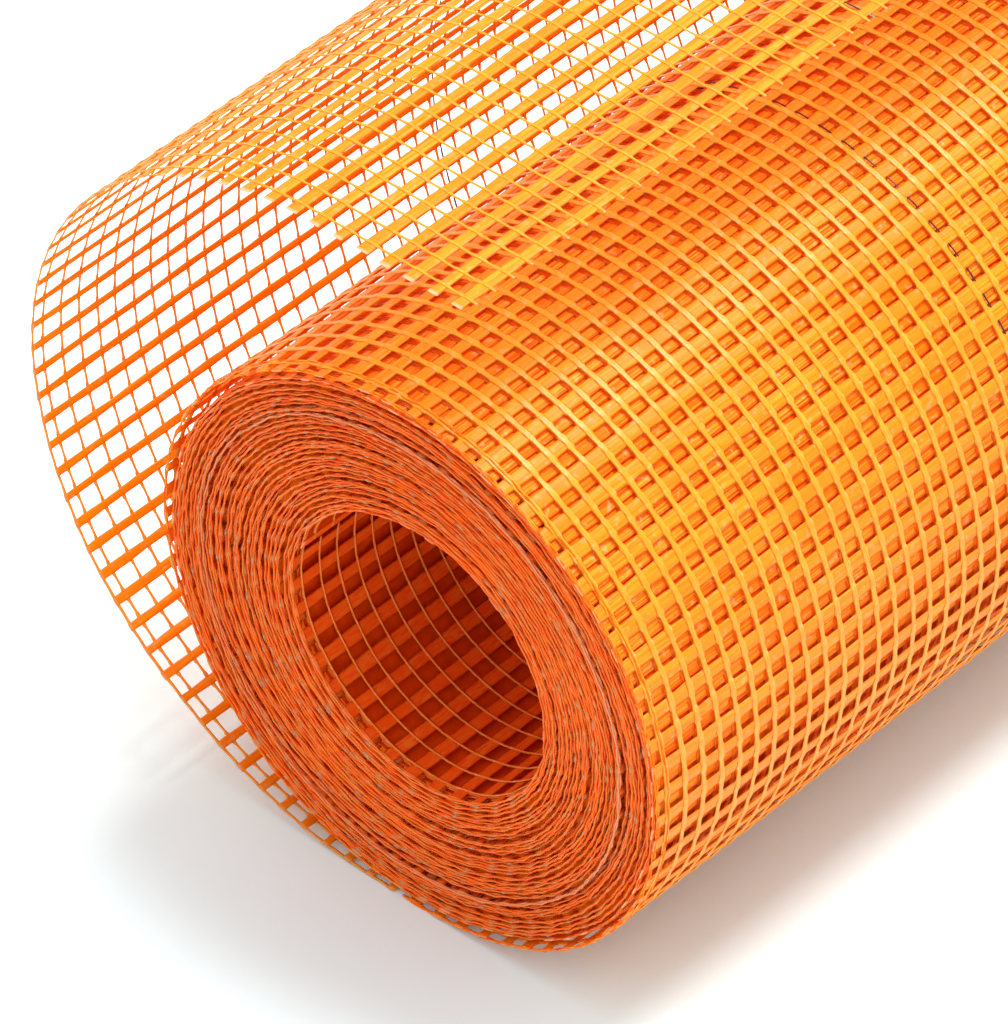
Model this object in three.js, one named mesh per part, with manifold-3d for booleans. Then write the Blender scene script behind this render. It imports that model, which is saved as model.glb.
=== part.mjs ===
// Roll of fibreglass mesh, lying on its side with its last turn sprung loose.
// Millimetres, +Z up. X runs along the roll, +Y is the side the loose turn swings out to.
// The origin is on the floor, in the middle of the roll's box.
import * as THREE from 'three';
import { mergeVertices } from 'three/addons/utils/BufferGeometryUtils.js';
import Module from 'manifold-3d';

// Driving sizes
const rollLength = 1000; // the width that the mesh is woven to
const rollRadius = 58.2; // outside of the wound turns
const boreRadius = 29.0;
const boreAside = 2.3; // the bore has settled off the centre, away from the loose turn
const boreRise = 2.0;
const turnThickness = 0.8; // one turn, with the air that the weave holds open

// Turns on the ends: a ridge stands for a few turns that lie edge to edge
const ridgePitch = 2.4;
const grooveWidth = 1.3;
const grooveDepth = 1.6;

// Loose turn, from the roll's bottom, out along the floor, up and over
const floorRun = 8; // flat on the floor before it lifts
const liftRadius = 85;
const liftSweep = 40; // degrees
const sideRadius = 77;
const sideSweep = 50;
const crownRadius = 67.5;
const crownSweep = 90;
const freeRun = 37; // nearly straight stretch to the free edge

const roundSteps = 48; // sides of the round surfaces
const arcStep = 7.5; // degrees of the loose turn to a facet

const degree = Math.PI / 180;

const meshMaterial = new THREE.MeshStandardMaterial({
  name: 'coated_fibreglass_mesh',
  color: 0xf59a2c,
  roughness: 0.55,
  metalness: 0.0,
});

// One end face, from the bore out: the points between the ridges' edges
function endFace(side) {
  const wall = rollRadius - boreRadius;
  const grooves = Math.floor((wall - ridgePitch) / ridgePitch);
  const rim = (wall - grooves * ridgePitch) / 2;
  const half = rollLength / 2;
  const points = [new THREE.Vector2(boreRadius, side * half)];
  for (let i = 0; i < grooves; i += 1) {
    const middle = boreRadius + rim + (i + 0.5) * ridgePitch;
    points.push(new THREE.Vector2(middle - grooveWidth / 2, side * half));
    points.push(new THREE.Vector2(middle, side * (half - grooveDepth)));
    points.push(new THREE.Vector2(middle + grooveWidth / 2, side * half));
  }
  points.push(new THREE.Vector2(rollRadius, side * half));
  return points;
}

// The wound turns as one turned body on the X axis
function woundTurns() {
  const profile = [...endFace(-1), ...endFace(1).reverse()];
  profile.push(profile[0].clone());
  const body = new THREE.LatheGeometry(profile, roundSteps);
  body.rotateZ(-Math.PI / 2);
  // Each ring slides a little with its radius, so that the bore sits off the centre
  const place = body.getAttribute('position');
  for (let i = 0; i < place.count; i += 1) {
    const radius = Math.hypot(place.getY(i), place.getZ(i));
    const share = (rollRadius - radius) / (rollRadius - boreRadius);
    place.setY(i, place.getY(i) - boreAside * share);
    place.setZ(i, place.getZ(i) + boreRise * share);
  }
  return body;
}

// Middle line of the loose turn in the YZ plane, with its heading at each point
function looseLine() {
  const half = turnThickness / 2;
  let y = 0;
  let z = half - rollRadius;
  let heading = 0;
  const line = [{ y, z, heading }];
  y += floorRun;
  line.push({ y, z, heading });
  const bends = [
    [liftRadius - half, liftSweep],
    [sideRadius - half, sideSweep],
    [crownRadius - half, crownSweep],
  ];
  for (const [radius, sweep] of bends) {
    const centreY = y - radius * Math.sin(heading);
    const centreZ = z + radius * Math.cos(heading);
    const steps = Math.ceil(sweep / arcStep);
    const start = heading;
    for (let i = 1; i <= steps; i += 1) {
      heading = start + (sweep * degree * i) / steps;
      y = centreY + radius * Math.sin(heading);
      z = centreZ - radius * Math.cos(heading);
      line.push({ y, z, heading });
    }
  }
  y += freeRun * Math.cos(heading);
  z += freeRun * Math.sin(heading);
  line.push({ y, z, heading });
  return line;
}

// The loose turn as a strip as thick as one turn, as long as the roll
function looseTurn() {
  const half = turnThickness / 2;
  const line = looseLine();
  const inner = line.map(({ y, z, heading }) => [y - half * Math.sin(heading), z + half * Math.cos(heading)]);
  const outer = line.map(({ y, z, heading }) => [y + half * Math.sin(heading), z - half * Math.cos(heading)]);
  const outline = new THREE.Shape([...outer, ...inner.reverse()].map(([y, z]) => new THREE.Vector2(y, z)));
  const strip = new THREE.ExtrudeGeometry(outline, { depth: rollLength, bevelEnabled: false });
  strip.translate(0, 0, -rollLength / 2);
  // The outline's own plane becomes YZ and its depth becomes X
  strip.applyMatrix4(new THREE.Matrix4().set(0, 0, 1, 0, 1, 0, 0, 0, 0, 1, 0, 0, 0, 0, 0, 1));
  return strip;
}

const wasm = await Module();
wasm.setup();

function toSolid(geometry) {
  const bare = geometry.clone();
  bare.deleteAttribute('normal');
  bare.deleteAttribute('uv');
  const merged = mergeVertices(bare);
  return new wasm.Manifold(
    new wasm.Mesh({
      numProp: 3,
      vertProperties: new Float32Array(merged.getAttribute('position').array),
      triVerts: new Uint32Array(merged.getIndex().array),
    }),
  );
}

function toGeometry(solid) {
  const mesh = solid.getMesh();
  const geometry = new THREE.BufferGeometry();
  geometry.setAttribute('position', new THREE.BufferAttribute(new Float32Array(mesh.vertProperties), 3));
  geometry.setIndex(new THREE.BufferAttribute(new Uint32Array(mesh.triVerts), 1));
  geometry.computeVertexNormals();
  return geometry;
}

// The sheet is one piece from its inner end to its free edge, so the loose turn is joined to the roll
const sheet = toGeometry(toSolid(woundTurns()).add(toSolid(looseTurn())));
sheet.computeBoundingBox();
const { min, max } = sheet.boundingBox;
sheet.translate(0, -(min.y + max.y) / 2, -min.z);

const meshRoll = new THREE.Mesh(sheet, meshMaterial);
meshRoll.name = 'mesh_roll';

const part = new THREE.Group();
part.name = 'fibreglass_mesh_roll';
part.add(meshRoll);

export default part;
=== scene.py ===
import bpy
import math
import numpy as np
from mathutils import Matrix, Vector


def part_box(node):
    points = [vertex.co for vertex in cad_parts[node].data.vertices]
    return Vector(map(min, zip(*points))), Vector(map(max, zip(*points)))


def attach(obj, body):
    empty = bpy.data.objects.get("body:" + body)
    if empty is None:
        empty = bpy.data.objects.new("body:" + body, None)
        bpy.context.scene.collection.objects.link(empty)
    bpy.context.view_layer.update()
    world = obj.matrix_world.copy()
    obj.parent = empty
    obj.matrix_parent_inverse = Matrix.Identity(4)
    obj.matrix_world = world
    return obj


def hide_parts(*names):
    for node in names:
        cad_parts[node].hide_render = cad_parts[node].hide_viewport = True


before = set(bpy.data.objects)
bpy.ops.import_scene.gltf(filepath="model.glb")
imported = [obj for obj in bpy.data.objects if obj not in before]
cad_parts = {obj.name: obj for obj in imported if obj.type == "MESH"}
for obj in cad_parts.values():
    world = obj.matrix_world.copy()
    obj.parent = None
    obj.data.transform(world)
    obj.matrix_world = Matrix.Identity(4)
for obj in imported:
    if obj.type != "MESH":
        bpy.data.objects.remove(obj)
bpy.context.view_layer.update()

rollLow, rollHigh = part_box("mesh_roll")
rng = np.random.default_rng(11)
mm = 0.001

# The sheet, from its inner end in the bore to its free edge
sheet = {
    "rollRadius": 58.2 * mm,
    "boreRadius": 29.0 * mm,
    "boreAside": 2.3 * mm,  # the bore has settled off the centre
    "boreRise": 2.0 * mm,
    "turn": 0.8 * mm,  # from one turn to the next
    "turns": 35.7,
    "flapLength": 9 * mm,  # the inner end stands a little into the bore
    "flapLift": 1.6 * mm,
    "floorRun": 8 * mm,
    "bends": [(85.0 * mm, 40), (77.0 * mm, 50), (67.5 * mm, 90)],  # radius, degrees
    "freeRun": 37 * mm,
    "lineStep": math.radians(2),
}
halfWidth = (rollHigh.x - rollLow.x) / 2
axisY = rollLow.y + sheet["rollRadius"]
axisZ = rollLow.z + sheet["rollRadius"]

# The weave: flat bands along the roll, thin yarns round it
weave = {
    "yarnPitch": 4.65 * mm,
    "bandPitch": 5.4 * mm,
    "bandHalfThick": 0.15 * mm,
    "yarnHalfThick": 0.16 * mm,
    "edgeYarnIn": 0.5 * mm,  # the bands' cut ends stand out past the edge yarn
    "edgeCell": 2.55 * mm,  # the first cell is a narrow one
    "lastBandIn": 2.3 * mm,  # the yarns' cut ends stand out past the last band
    "fineLength": 168 * mm,  # the end that is seen close up has the finest yarns
    "markYarn": 23,  # counted from the edge, the yarn that marks the overlap lies beside it
    "markAside": 1.2 * mm,
}

# How the wound sheet strays from an even spiral; waves are lengths along the sheet
stray = {
    "packing": 0.27 * mm,  # the turns lie closer together in some places than in others
    "packingTurns": 5.3,
    "edgeWavy": 0.15 * mm,
    "edgeWaves": [41 * mm, 23.3 * mm, 13.1 * mm, 9.2 * mm],
    "edgeReach": 30 * mm,  # how far in from the roll's ends both of these are felt
    "slip": 0.36 * mm,  # to either side
    "slipWaves": [811 * mm, 467 * mm, 283 * mm, 97 * mm],
    "slipFades": 60 * mm,  # along the loose turn
    "proudAt": -3490 * mm,  # one turn stands well out of the front, its coating rubbed pale
    "proudRun": 150 * mm,
    "proudOut": 1.0 * mm,
    "proudPale": 0.55,
}
# The outer turns hang loose at the lower right, more so away from the end, and at the upper left
sag = {
    "turns": [1.0, 0.55, 0.25],
    "run": 120 * mm,
    "atEnd": 1.7 * mm,
    "more": 1.5 * mm,
    "moreFrom": 90 * mm,
    "upperLeft": 1.4 * mm,
    "upperLeftAt": -245 * mm,
    "upperLeftRun": 45 * mm,
}


def sheetLine():
    s = sheet
    middle = s["rollRadius"] - s["turn"] / 2
    heading = np.arange(-s["turns"] * 2 * math.pi, 0, s["lineStep"])
    radius = middle + s["turn"] * heading / (2 * math.pi)
    share = (s["rollRadius"] - radius) / (s["rollRadius"] - s["boreRadius"])
    inward = (heading - heading[0]) * s["boreRadius"]
    radius = radius - s["flapLift"] * np.clip(1 - inward / s["flapLength"], 0, 1) ** 2
    y = -s["boreAside"] * share + radius * np.sin(heading)
    z = s["boreRise"] * share - radius * np.cos(heading)
    points = list(zip(y, z, heading))
    leave = len(points)
    points += [(0, -middle, 0), (s["floorRun"], -middle, 0)]
    for bendRadius, sweep in s["bends"]:
        bendRadius -= s["turn"] / 2
        y0, z0, start = points[-1]
        centreY = y0 - bendRadius * math.sin(start)
        centreZ = z0 + bendRadius * math.cos(start)
        for turned in np.arange(s["lineStep"], math.radians(sweep) + 1e-6, s["lineStep"]):
            now = start + turned
            points.append((centreY + bendRadius * math.sin(now), centreZ - bendRadius * math.cos(now), now))
    y0, z0, start = points[-1]
    points.append((y0 + s["freeRun"] * math.cos(start), z0 + s["freeRun"] * math.sin(start), start))
    y, z, heading = np.array(points).T
    length = np.concatenate([[0], np.cumsum(np.hypot(np.diff(y), np.diff(z)))])
    return {"at": length - length[leave], "y": y + axisY, "z": z + axisZ, "heading": heading}


line = sheetLine()
freeEnd = line["at"][-1]
innerEnd = line["at"][0]
turnLength = 2 * math.pi * sheet["rollRadius"]


def onSheet(at):
    y = np.interp(at, line["at"], line["y"])
    z = np.interp(at, line["at"], line["z"])
    heading = np.interp(at, line["at"], line["heading"])
    return y, z, heading


def ripple(places, waves, size, seed):
    draw = np.random.default_rng(seed)
    total = np.zeros_like(places)
    for wave in waves:
        total += np.sin(2 * math.pi * places / wave + draw.uniform(0, 2 * math.pi))
    return size * total / math.sqrt(len(waves))


def hump(at, middle, run):
    return np.exp(-(((at - middle) / run) ** 2))


def edgeLift(at, x):
    # Off the even spiral, for the wound turns only
    heading = np.interp(at, line["at"], line["heading"])
    packing = stray["packing"] * np.sin(heading / stray["packingTurns"] + 1.3 * np.sin(heading + 0.6))
    wavy = ripple(at, stray["edgeWaves"], stray["edgeWavy"], 3)
    near = np.clip(1 - (halfWidth - np.abs(x)) / stray["edgeReach"], 0, 1) ** 2
    return near * (packing + wavy) * (at < 0)


def slip(at):
    # The sheet runs a little to either side as it is wound
    held = np.clip(1 - at / stray["slipFades"], 0, 1)
    proud = hump(at, stray["proudAt"], stray["proudRun"])
    return held * ripple(at, stray["slipWaves"], stray["slip"], 5) - stray["proudOut"] * proud


def bulge(at, x):
    inward = np.clip((halfWidth - np.abs(x)) / sag["moreFrom"], 0, 1)
    rise = sag["upperLeft"] * hump(at, sag["upperLeftAt"], sag["upperLeftRun"])
    for turn, size in enumerate(sag["turns"]):
        share = np.clip(-(at + turn * turnLength) / sag["run"], 0, 1) ** 0.75
        rise = rise + size * (sag["atEnd"] + sag["more"] * inward) * np.sin(math.pi * share) ** 2
    return rise


def wander(along, strands, waves, size):
    # A slow wave of its own for each strand, made of several lengths
    total = 0
    for wave in waves:
        phase = rng.uniform(0, 2 * math.pi, (strands, 1))
        total = total + size * np.sin(2 * math.pi * along / wave + phase)
    return total


def makePiece(name, points, quads, tris, strand, material):
    mesh = bpy.data.meshes.new(name)
    mesh.from_pydata(points.tolist(), [], quads.tolist() + tris.tolist())
    data = mesh.attributes.new("strand", "FLOAT_VECTOR", "POINT")
    data.data.foreach_set("vector", strand.astype(np.float32).ravel())
    mesh.update()
    piece = bpy.data.objects.new(name, mesh)
    bpy.context.collection.objects.link(piece)
    mesh.materials.append(material)
    mesh.shade_smooth()
    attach(piece, "root")
    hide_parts("mesh_roll")
    print(name, len(quads) * 2 + len(tris), "triangles")


def tubeFaces(strands, stations, sides):
    first = np.arange(strands * stations * sides).reshape(strands, stations, sides)
    near, far = first[:, :-1], first[:, 1:]
    quads = np.stack([near, np.roll(near, -1, 2), np.roll(far, -1, 2), far], -1).reshape(-1, 4)
    head, tail = first[:, 0], first[:, -1]
    tris = []
    for i in range(1, sides - 1):
        tris.append(np.stack([head[:, 0], head[:, i + 1], head[:, i]], -1))
        tris.append(np.stack([tail[:, 0], tail[:, i], tail[:, i + 1]], -1))
    return quads, np.concatenate(tris)


bandShapes = {  # across, off the sheet
    "rounded": [(-1, 0), (-0.7, 1), (0.7, 1), (1, 0), (0.7, -1), (-0.7, -1)],
    "flat": [(-1, 0), (0, 1), (1, 0), (0, -1)],
}


def bandSet(name, centres, x, halfAcross, material, cut, shape="rounded"):
    # One flat band along the roll at each of the centres, x holds its stations: (bands, stations)
    bands, stations = x.shape
    at = centres[:, None] + wander(x, bands, [190 * mm, 61 * mm, 27 * mm], 0.055 * mm)
    swell = 1 + wander(x, bands, [83 * mm, 17 * mm, 7.3 * mm], 0.06)
    swell = swell * rng.uniform(0.92, 1.08, (bands, 1))
    across = (np.broadcast_to(halfAcross, bands)[:, None] * swell)[..., None]
    outline = np.array(bandShapes[shape])
    a = outline[:, 0] * across
    b = outline[:, 1] * weave["bandHalfThick"] + (edgeLift(at, x) + bulge(at, x))[..., None]
    y, z, heading = (v[..., None] for v in onSheet(at))
    py = y + a * np.cos(heading) + b * np.sin(heading)
    pz = z + a * np.sin(heading) - b * np.cos(heading)
    px = (x + slip(at))[..., None] + 0 * a
    points = np.stack([px, py, pz], -1).reshape(-1, 3)
    strand = np.stack([px, a, cut[..., None] + 0 * a], -1).reshape(-1, 3)
    quads, tris = tubeFaces(bands, stations, len(outline))
    makePiece(name, points, quads, tris, strand, material)


def yarnSet(name, places, at, lift, halfAcross, halfThick, material, shape):
    # One yarn round the roll at each of the places along it; at, lift, halfAcross are by station
    yarns, stations = len(places), len(at)
    at = at[None, :]
    x = places[:, None] + slip(at) + wander(at, yarns, [143 * mm, 53 * mm, 21 * mm], 0.05 * mm)
    swell = rng.uniform(0.88, 1.12, x.shape)
    outline = np.array(yarnShapes[shape])
    a = (halfAcross[None, :] * swell)[..., None] * outline[:, 0]
    b = outline[:, 1] * halfThick + (lift[None, :] + edgeLift(at, x) + bulge(at, x))[..., None]
    y, z, heading = (v[..., None] for v in onSheet(at))
    px = x[..., None] + a
    py = y + b * np.sin(heading)
    pz = z - b * np.cos(heading)
    points = np.stack([px, py, pz], -1).reshape(-1, 3)
    along = at[..., None] + 0 * a
    proud = hump(along, stray["proudAt"], stray["proudRun"]) * (px < 5 * mm - halfWidth)
    cut = 0.4 * (along > freeEnd - 0.5 * mm) + stray["proudPale"] * proud
    strand = np.stack([along, a, cut], -1).reshape(-1, 3)
    quads, tris = tubeFaces(yarns, stations, len(outline))
    makePiece(name, points, quads, tris, strand, material)


yarnShapes = {  # across, off the sheet
    "pair": [(1, 0), (0.5, 1), (0, 0.5), (-0.5, 1), (-1, 0), (0, -1)],  # two yarns side by side
    "flat": [(1, 0), (0, 1), (-1, 0), (0, -1)],
    "plain": [(1, -0.4), (0, 1), (-1, -0.4)],
    "inner": [(-1, 0.4), (0, -1), (1, 0.4)],
}


def bandStations(count, fineStep, plainStep):
    # Closer together at the end that is seen close up, and a short way in from each cut end
    fineEnd = -halfWidth + weave["fineLength"]
    fine = np.arange(-halfWidth + weave["edgeCell"], fineEnd, fineStep)
    plain = np.arange(fineEnd, halfWidth - weave["edgeCell"], plainStep)
    nearTip = halfWidth - 0.9 * mm
    x = np.concatenate([[-halfWidth, -nearTip], fine, plain, [nearTip, halfWidth]])
    x = np.repeat(x[None, :], count, 0)
    cut = np.zeros_like(x)
    cut[:, [0, -1]] = 1
    x[:, 0] += np.abs(rng.normal(0, 0.25 * mm, count))
    x[:, -1] -= np.abs(rng.normal(0, 0.25 * mm, count))
    return x, cut


def yarnPlaces():
    edge = halfWidth - weave["edgeYarnIn"]
    inner = edge - weave["edgeCell"]
    count = int(round(2 * inner / weave["yarnPitch"]))
    places = np.linspace(-inner, inner, count + 1)
    return np.concatenate([[-edge], places, [edge]])


def overUnder(centres, shape):
    # Stations of a yarn that goes over each band: shape holds (from the band, lift, half width)
    steps = np.array(shape)
    at = (centres[:, None] + steps[None, :, 0]).ravel()
    lift = np.tile(steps[:, 1], len(centres))
    across = np.tile(steps[:, 2], len(centres))
    order = np.argsort(at)
    return at[order], lift[order], across[order]


# Materials


def linear(code):
    channel = np.array([int(code[i:i + 2], 16) / 255 for i in (0, 2, 4)])
    value = np.where(channel <= 0.04045, channel / 12.92, ((channel + 0.055) / 1.055) ** 2.4)
    return (*value, 1.0)


def addNode(tree, kind, settings=None, inputs=None, links=None):
    node = tree.nodes.new(kind)
    for key, value in (settings or {}).items():
        setattr(node, key, value)
    for key, value in (inputs or {}).items():
        node.inputs[key].default_value = value
    for key, source in (links or {}).items():
        tree.links.new(source, node.inputs[key])
    return node


strandPattern = {
    "streaks": {1: 4.2, 2: -1.6},  # gain and offset on the noise
    "patches": {1: 2.4, 2: -0.85},
    "glints": {"From Min": 0.6, "From Max": 0.72},
    "relief": 0.1 * mm,
}


def strandMaterial(name, look, kind):
    # Glass yarn under a smooth coloured coating: fibres show as fine streaks along the strand
    material = bpy.data.materials.new(name)
    material.use_nodes = True
    tree = material.node_tree
    tree.nodes.clear()
    strand = addNode(tree, "ShaderNodeAttribute", {"attribute_type": "GEOMETRY", "attribute_name": "strand"})
    if kind == "band":
        place = addNode(tree, "ShaderNodeTexCoord").outputs["Object"]
        stretch = (look["alongScale"], look["acrossScale"], look["acrossScale"])
    else:
        place = strand.outputs["Vector"]
        stretch = (look["alongScale"], look["acrossScale"], 0)
    mapped = addNode(tree, "ShaderNodeMapping", inputs={"Scale": stretch}, links={"Vector": place})
    streaks = addNode(
        tree, "ShaderNodeTexNoise", inputs={"Scale": 1, "Detail": 3, "Roughness": 0.6},
        links={"Vector": mapped.outputs["Vector"]},
    )
    objectPlace = addNode(tree, "ShaderNodeTexCoord").outputs["Object"]
    patches = addNode(
        tree, "ShaderNodeTexNoise", inputs={"Scale": look["patchScale"], "Detail": 2},
        links={"Vector": objectPlace},
    )
    blend = addNode(
        tree, "ShaderNodeMath", {"operation": "MULTIPLY_ADD", "use_clamp": True}, strandPattern["streaks"],
        {0: streaks.outputs["Fac"]},
    )
    base = addNode(
        tree, "ShaderNodeMix", {"data_type": "RGBA"},
        {"A": linear(look["deep"]), "B": linear(look["bright"])}, {"Factor": blend.outputs["Value"]},
    )
    patchShare = addNode(
        tree, "ShaderNodeMath", {"operation": "MULTIPLY_ADD", "use_clamp": True}, strandPattern["patches"],
        {0: patches.outputs["Fac"]},
    )
    varied = addNode(
        tree, "ShaderNodeMix", {"data_type": "RGBA"}, {"B": linear(look["patch"])},
        {"A": base.outputs["Result"], "Factor": patchShare.outputs["Value"]},
    )
    # Pale flecks along the strand: painted glints, highlights mixed into the colour, partly pale fibre flecks
    glints = addNode(
        tree, "ShaderNodeTexNoise", inputs={"Scale": look["glintScale"], "Detail": 1},
        links={"Vector": place},
    )
    glintShare = addNode(
        tree, "ShaderNodeMapRange", {"interpolation_type": "SMOOTHSTEP"},
        {**strandPattern["glints"], "To Max": look["glints"]}, {"Value": glints.outputs["Fac"]},
    )
    flecked = addNode(
        tree, "ShaderNodeMix", {"data_type": "RGBA"}, {"B": linear(look["paleFibreAndGlint"])},
        {"A": varied.outputs["Result"], "Factor": glintShare.outputs["Result"]},
    )
    # Pale where the strand's third value says: cut ends, bare fibre partly painted highlight, and the proud
    # turn's rubbed coating
    parts = addNode(tree, "ShaderNodeSeparateXYZ", links={"Vector": strand.outputs["Vector"]})
    colour = addNode(
        tree, "ShaderNodeMix", {"data_type": "RGBA"}, {"B": linear(look["paleFibreAndGlint"])},
        {"A": flecked.outputs["Result"], "Factor": parts.outputs["Z"]},
    )
    bump = addNode(
        tree, "ShaderNodeBump", inputs={"Strength": look["bump"], "Distance": strandPattern["relief"]},
        links={"Height": streaks.outputs["Fac"]},
    )
    shader = addNode(
        tree, "ShaderNodeBsdfPrincipled",
        inputs={"Roughness": look["roughness"], "Specular IOR Level": look["gloss"]},
        links={"Base Color": colour.outputs["Result"], "Normal": bump.outputs["Normal"]},
    )
    out = addNode(tree, "ShaderNodeOutputMaterial")
    tree.links.new(shader.outputs["BSDF"], out.inputs["Surface"])
    if look["throughShare"]:
        through = addNode(tree, "ShaderNodeBsdfTranslucent", inputs={"Color": linear(look["through"])})
        both = addNode(tree, "ShaderNodeMixShader", inputs={"Fac": look["throughShare"]})
        tree.links.new(shader.outputs["BSDF"], both.inputs[1])
        tree.links.new(through.outputs["BSDF"], both.inputs[2])
        tree.links.new(both.outputs["Shader"], out.inputs["Surface"])
    return material


# Flat bands: golden where light falls, plain orange where it has passed through
bandLook = {
    "deep": "FF7E06", "bright": "FFAE1E", "patch": "FF8C08", "paleFibreAndGlint": "FFE0B0", "through": "FF9A14",
    "throughShare": 0.3, "alongScale": 60, "acrossScale": 3200, "patchScale": 55, "bump": 0.5,
    "roughness": 0.4, "gloss": 0.22, "glintScale": 700, "glints": 0.15,
}
# Thin yarns: a shade paler and glossier than the bands
yarnLook = {
    "deep": "FF8E06", "bright": "FFBA2E", "patch": "FF9C0C", "paleFibreAndGlint": "FFE6B8", "through": "FF7C06",
    "throughShare": 0.25, "alongScale": 420, "acrossScale": 3800, "patchScale": 60, "bump": 0.8,
    "roughness": 0.3, "gloss": 0.45, "glintScale": 620, "glints": 0.22,
}
# Under the top turn: a redder, darker copy of the coating, with painted shade and the red of light that came
# through the top turn painted in
shadedBelowLook = {
    "throughShare": 0, "deep": "FA4602", "bright": "FFA232", "patch": "FF6A0A", "gloss": 0.02, "glints": 0.16,
}
# At the roll's ends: a redder, darker copy of the coating, painted shade, as the ends get less light; the cut
# fibres dull, partly painted shade
edgeShadeLook = {
    "deep": "F6560E", "bright": "EC843A", "patch": "FC6E14", "paleFibreAndGlint": "DAA078", "throughShare": 0,
    "alongScale": 420, "acrossScale": 2600, "patchScale": 160, "bump": 0.4,
    "roughness": 0.5, "gloss": 0.15, "glintScale": 500, "glints": 0.18,
}
# In the bore: a redder, darker copy of the coating, painted shade with the red of light bounced round the
# bore painted in
boreShadeLook = {"deep": "FF4C08", "bright": "FF7820", "patch": "FF560A", "glints": 0}
boreYarnShadeLook = {"deep": "F06A14", "bright": "FF8E34", "patch": "F87820", "throughShare": 0, "glints": 0.2}
# The marking yarn: dyed a dull brown-black
markLook = {"deep": "2A0C10", "bright": "5A2622", "patch": "3E1414", "throughShare": 0, "glints": 0}
coatedBand = strandMaterial("coatedGlassRoving", bandLook, "band")
coatedYarn = strandMaterial("coatedLenoYarn", yarnLook, "yarn")
shadedLowerBand = strandMaterial("coatedRovingBelowShaded", {**bandLook, **shadedBelowLook}, "band")
shadedLowerYarn = strandMaterial("coatedYarnBelowShaded", {**yarnLook, **shadedBelowLook}, "yarn")
shadedEdgeBand = strandMaterial("coatedRovingEndsShaded", {**edgeShadeLook, "paleFibreAndGlint": "C48A60"}, "band")
edgeYarn = strandMaterial("coatedEdgeYarnShaded", edgeShadeLook, "yarn")
shadedBoreBand = strandMaterial("coatedRovingInBoreShaded", {**edgeShadeLook, **boreShadeLook}, "band")
boreYarn = strandMaterial("coatedYarnInBoreShaded", {**yarnLook, **boreYarnShadeLook}, "yarn")
markMaterial = strandMaterial("dyedMarkingYarn", {**yarnLook, **markLook}, "yarn")


def innerTurnsMaterial(name, deep, bright):
    # The turns deep in the roll: one solid piece whose red is painted light, standing in for light come
    # through and between the turns, without any shine
    material = bpy.data.materials.new(name)
    material.use_nodes = True
    tree = material.node_tree
    tree.nodes.clear()
    place = addNode(tree, "ShaderNodeTexCoord").outputs["Object"]
    spots = addNode(tree, "ShaderNodeTexNoise", inputs={"Scale": 420, "Detail": 2}, links={"Vector": place})
    colour = addNode(
        tree, "ShaderNodeMix", {"data_type": "RGBA"}, {"A": linear(deep), "B": linear(bright)},
        {"Factor": spots.outputs["Fac"]},
    )
    shader = addNode(
        tree, "ShaderNodeBsdfPrincipled", inputs={"Roughness": 0.8, "Specular IOR Level": 0.0},
        links={"Base Color": colour.outputs["Result"]},
    )
    out = addNode(tree, "ShaderNodeOutputMaterial")
    tree.links.new(shader.outputs["BSDF"], out.inputs["Surface"])
    return material


# Inner turns, hidden under the open layers

innerTurns = {
    "underSurface": 1.6 * mm,
    "underBore": 2.1 * mm,
    "inFromEnds": 2.6 * mm,
    "sides": 96,
    "smoothUnder": math.radians(40),
}


def makeInnerTurns():
    own = innerTurns
    outer = sheet["rollRadius"] - own["underSurface"]
    inner = sheet["boreRadius"] + own["underBore"]
    bpy.ops.object.select_all(action="DESELECT")
    bpy.ops.mesh.primitive_cylinder_add(
        vertices=own["sides"], radius=outer, depth=2 * (halfWidth - own["inFromEnds"]), end_fill_type="NGON",
        location=(0, axisY, axisZ), rotation=(0, math.radians(90), 0),
    )
    piece = bpy.context.object
    piece.name = piece.data.name = "inner_turns"
    bpy.ops.object.transform_apply(location=True, rotation=True, scale=True)
    bpy.ops.object.mode_set(mode="EDIT")
    bpy.ops.mesh.select_mode(type="FACE")
    bpy.ops.mesh.select_all(action="DESELECT")
    bpy.ops.object.mode_set(mode="OBJECT")
    for face in piece.data.polygons:
        face.select = abs(face.normal.x) > 0.9
    bpy.ops.object.mode_set(mode="EDIT")
    bpy.ops.mesh.inset(thickness=outer - inner, use_even_offset=True)
    bpy.ops.transform.translate(value=(0, -sheet["boreAside"], sheet["boreRise"]))
    bpy.ops.mesh.bridge_edge_loops()
    bpy.ops.mesh.select_all(action="SELECT")
    bpy.ops.mesh.normals_make_consistent(inside=False)
    bpy.ops.object.mode_set(mode="OBJECT")
    bpy.ops.object.shade_smooth_by_angle(angle=own["smoothUnder"])
    # Two copies of the coating: a bright red one with painted light through the turns, and a darker one with
    # painted shade for the bore wall
    piece.data.materials.append(innerTurnsMaterial("coatedMeshLitThroughInDeepTurns", "FF5A08", "FF861E"))
    piece.data.materials.append(innerTurnsMaterial("coatedMeshInShadedBore", "C02C02", "FC560A"))
    for face in piece.data.polygons:
        offAxis = math.hypot(face.center.y - axisY, face.center.z - axisZ)
        face.material_index = int(abs(face.normal.x) < 0.5 and offAxis < (inner + outer) / 2)
    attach(piece, "root")
    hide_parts("mesh_roll")
    print("inner_turns", len(piece.data.polygons), "faces")


# Where the bands and yarns lie on the sheet, the bands counted back from the free edge

bandCentres = np.arange(freeEnd - weave["lastBandIn"], innerEnd + 1.5 * mm, -weave["bandPitch"])[::-1]
between = weave["bandPitch"] / 2
yarnAlong = yarnPlaces()
edgeYarns, inside = yarnAlong[[0, -1]], yarnAlong[1:-1]
near = inside < -halfWidth + weave["fineLength"]
nearYarns, farYarns = inside[near], inside[~near]

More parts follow.
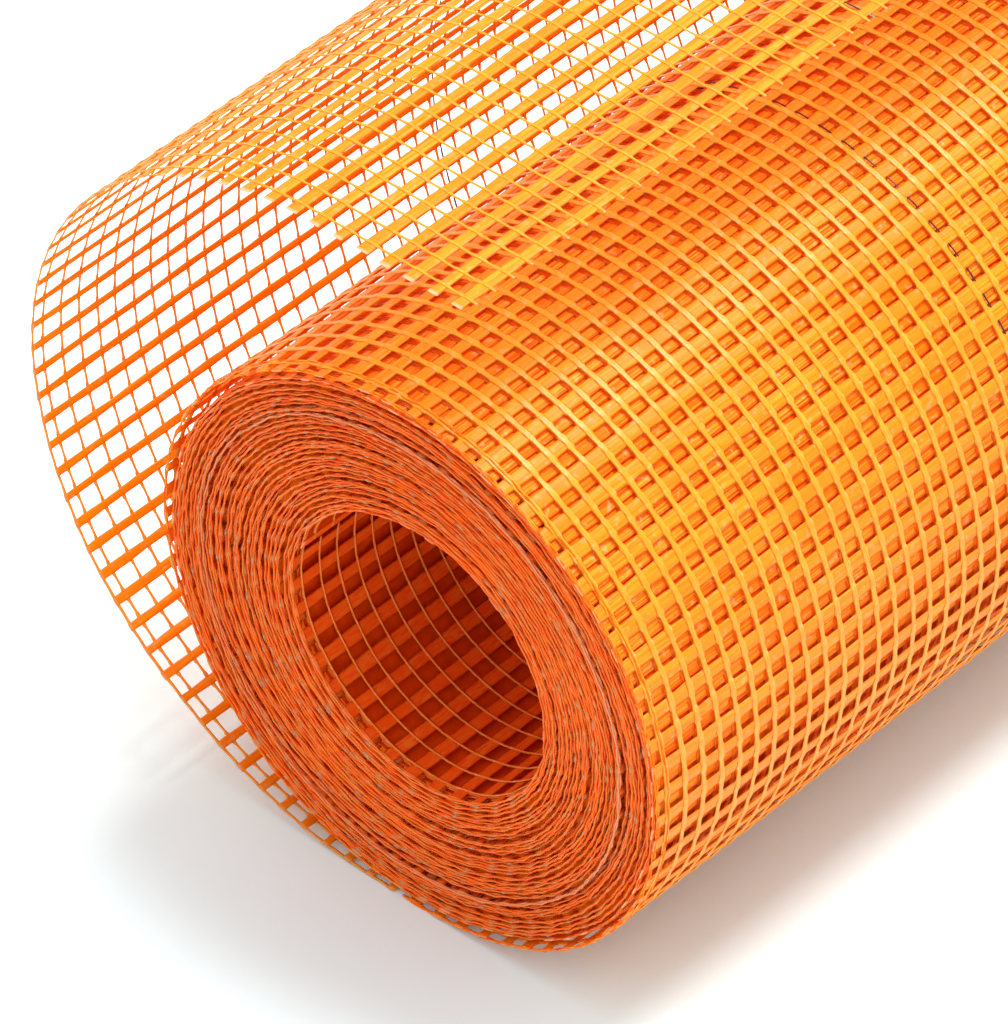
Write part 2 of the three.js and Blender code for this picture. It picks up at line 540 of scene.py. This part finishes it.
# Half widths; the loose turn's bands were pressed flat from where it turns over
wound = {"band": 1.4 * mm, "yarn": 0.71 * mm}
loose = {
    "bandAt": [170 * mm, 205 * mm], "band": [0.86 * mm, 1.2 * mm], "yarn": 0.33 * mm,
    "pale": [0.25, 1.0],  # how pale a band's cut ends are made: bare fibre, partly painted highlight
}
layers = {
    "fineSteps": (weave["yarnPitch"], 18 * mm),  # between a band's stations, close up and further on
    "plainSteps": (9 * mm, 36 * mm),
    "edgeYarnEnds": 204 * mm,
    "secondEnds": -2 * turnLength + 5 * mm,
    "boreEnds": innerEnd + 184 * mm,
}

# A yarn's stations from the middle of the band it crosses: how far on, lift, share of its width
overFine = [
    (-1.8 * mm, 0.03 * mm, 0.9), (-1.2 * mm, 0.1 * mm, 1.3), (0.0, 0.17 * mm, 1.08),
    (1.2 * mm, 0.1 * mm, 1.3), (1.8 * mm, 0.03 * mm, 0.9),
]
overPlain = [(0.0, 0.17 * mm, 1.1), (between, 0.02 * mm, 0.95)]
overPlainest = [(0.0, 0.14 * mm, 1.05)]
underPlain = [(0.0, -0.3 * mm, 0.5), (between, -0.2 * mm, 0.4)]


def centresFrom(first, last):
    return bandCentres[(bandCentres >= first) & (bandCentres < last)]


def layerBands(name, centres, across, steps, material, pale=0.35):
    x, cut = bandStations(len(centres), *steps)
    cut = cut * np.broadcast_to(pale, len(centres))[:, None]
    bandSet(name, centres, x, across, material, cut)


def layerYarns(name, centres, places, stations, half, material, shape, last=None):
    at, lift, across = overUnder(centres, [(p, h, w * half) for p, h, w in stations])
    if last:
        kept = at < last
        at, lift = np.append(at[kept], last), np.append(lift[kept], 0)
        across = np.append(across[kept], half * 0.8)
    yarnSet(name, places, at, lift, across, weave["yarnHalfThick"], material, shape)


def looseTurn():
    centres = bandCentres[bandCentres >= 0]
    across = np.interp(centres, loose["bandAt"], loose["band"])
    pale = np.interp(centres, loose["bandAt"], loose["pale"])
    half = loose["yarn"]
    layerBands("loose_turn_bands", centres, across, layers["fineSteps"], coatedBand, pale)
    layerYarns("loose_turn_yarns", centres, nearYarns, overFine, half, coatedYarn, "pair", freeEnd)
    layerYarns("loose_turn_yarns_far", centres, farYarns, overPlain, half, coatedYarn, "plain", freeEnd)
    last = layers["edgeYarnEnds"]
    layerYarns("loose_turn_edge_yarns", centres, edgeYarns, overPlain, half, coatedYarn, "flat", last)


def topTurn():
    centres = centresFrom(-turnLength, 0)
    half = wound["yarn"]
    layerBands("top_turn_bands", centres, wound["band"], layers["fineSteps"], coatedBand)
    layerYarns("top_turn_yarns", centres, nearYarns, overFine, half, coatedYarn, "pair")
    layerYarns("top_turn_yarns_far", centres, farYarns, overPlainest, half, coatedYarn, "plain")


def secondTurn():
    centres = centresFrom(layers["secondEnds"], -turnLength)
    layerBands("second_turn_bands", centres, wound["band"], layers["plainSteps"], shadedLowerBand)
    layerYarns("second_turn_yarns", centres, nearYarns, overPlain, wound["yarn"], shadedLowerYarn, "flat")


def boreTurn():
    centres = centresFrom(innerEnd, layers["boreEnds"])
    layerBands("bore_turn_bands", centres, wound["band"], layers["plainSteps"], shadedBoreBand)
    layerYarns("bore_turn_yarns", centres, inside, underPlain, wound["yarn"], boreYarn, "inner")


looseTurn()
topTurn()
secondTurn()
boreTurn()
makeInnerTurns()


# Edges of the wound turns at the roll's two ends

edges = {
    "depth": 3.4 * mm,
    "stubShare": 0.8,  # of a band's width
    "tipsVary": 0.5 * mm,
    "paleTip": 0.6 * mm,
    "yarns": [  # in from the end; lift over a band and between bands; half width and half thickness
        (weave["edgeYarnIn"] - 0.15 * mm, [0.15 * mm, -0.13 * mm], 0.26 * mm, 0.2 * mm),
        (weave["edgeYarnIn"] + 0.2 * mm, [-0.15 * mm, 0.14 * mm], 0.26 * mm, 0.2 * mm),
        (weave["edgeYarnIn"] + weave["edgeCell"], [0.2 * mm], 0.34 * mm, 0.32 * mm),
    ],
}


def turnEdges(name, side):
    own = edges
    centres = centresFrom(layers["boreEnds"], layers["secondEnds"])
    tip = halfWidth - np.abs(rng.normal(0, own["tipsVary"], len(centres)))
    x = np.stack([0 * tip + halfWidth - own["depth"], tip - own["paleTip"], tip], -1)
    cut = np.zeros_like(x)
    cut[:, -1] = 1
    if side < 0:
        x, cut = -x[:, ::-1], cut[:, ::-1]
    bandSet(name + "_stubs", centres, x, wound["band"] * own["stubShare"], shadedEdgeBand, cut, "flat")
    # The top turn's end yarns take the lower turns' darker copy of the coating: painted shade
    parts = [("", innerEnd, -turnLength, edgeYarn), ("_top", -turnLength, 0, shadedLowerYarn)]
    for i, (inFrom, lifts, half, thick) in enumerate(own["yarns"]):
        places = np.array([side * (halfWidth - inFrom)])
        stations = [(between * step, lift, half) for step, lift in enumerate(lifts)]
        for part, first, last, material in parts:
            at, lift, across = overUnder(centresFrom(first, last), stations)
            yarnSet(f"{name}_yarn_{i + 1}{part}", places, at, lift, across, thick, material, "flat")


turnEdges("front_edge", -1)
turnEdges("back_edge", 1)


# The marking yarns run inside the bands, beside a yarn of the weave, and show in its holes

marking = {
    "stations": [(0.0, 0.02 * mm, 0.18 * mm), (between, 0.08 * mm, 0.21 * mm)],
    "halfThick": 0.11 * mm,
}


def markingYarns():
    at, lift, across = overUnder(bandCentres[bandCentres >= -2 * turnLength], marking["stations"])
    step = weave["markYarn"]
    aside = weave["markAside"]
    places = np.array([yarnAlong[step] + aside, yarnAlong[-1 - step] - aside])
    yarnSet("marking_yarns", places, at, lift, across, marking["halfThick"], markMaterial, "flat")


markingYarns()


# Floor, light and camera

floor = {"size": 60.0, "colour": "ECFDFF", "roughness": 0.9}  # cool, so the orange light on it evens out
bpy.ops.object.select_all(action="DESELECT")
bpy.ops.mesh.primitive_plane_add(size=floor["size"], location=(0, 0, 0))
ground = bpy.context.object
ground.name = "floor"
groundMaterial = bpy.data.materials.new("matteWhiteBoard")
groundMaterial.use_nodes = True
groundShader = groundMaterial.node_tree.nodes["Principled BSDF"]
groundShader.inputs["Base Color"].default_value = linear(floor["colour"])
groundShader.inputs["Roughness"].default_value = floor["roughness"]
ground.data.materials.append(groundMaterial)

light = {
    "world": 1.04,
    "lamps": [  # name, place, looks at, size, watts
        ("key", (0.5, -0.1, 2.4), (-0.3, 0.0, 0.05), 1.2, 84),
    ],
}
world = bpy.data.worlds.new("studio")
world.use_nodes = True
world.node_tree.nodes["Background"].inputs["Color"].default_value = (1, 1, 1, 1)
world.node_tree.nodes["Background"].inputs["Strength"].default_value = light["world"]
bpy.context.scene.world = world
bpy.context.scene.view_settings.view_transform = "Standard"


def aim(thing, target):
    direction = [t - p for t, p in zip(target, thing.location)]
    length = math.sqrt(sum(d * d for d in direction))
    pitch = math.acos(-direction[2] / length)
    turn = math.atan2(direction[0], -direction[1])
    thing.rotation_euler = (pitch, 0, turn + math.pi)


for name, place, target, size, watts in light["lamps"]:
    data = bpy.data.lights.new(name, "AREA")
    data.shape = "DISK"
    data.size = size
    data.energy = watts
    lamp = bpy.data.objects.new(name, data)
    bpy.context.collection.objects.link(lamp)
    lamp.location = place
    aim(lamp, target)
    lamp.visible_camera = False

# The photograph's view: a long lens, from above the front end on the right
view = {
    "place": (-1.3852, -0.8298, 1.1588),
    "yaw": 41.775,  # from +X towards +Y
    "down": 41.557,
    "lens": 327.98,  # millimetres, as is the sensor along the picture's long side
    "sensor": 36,
    "nearest": 0.1,
    "furthest": 100,
}
cameraData = bpy.data.cameras.new("camera")
cameraData.lens = view["lens"]
cameraData.sensor_width = view["sensor"]
cameraData.clip_start = view["nearest"]
cameraData.clip_end = view["furthest"]
camera = bpy.data.objects.new("camera", cameraData)
bpy.context.collection.objects.link(camera)
camera.location = view["place"]
camera.rotation_euler = (math.radians(90 - view["down"]), 0, math.radians(view["yaw"] - 90))
bpy.context.scene.camera = camera
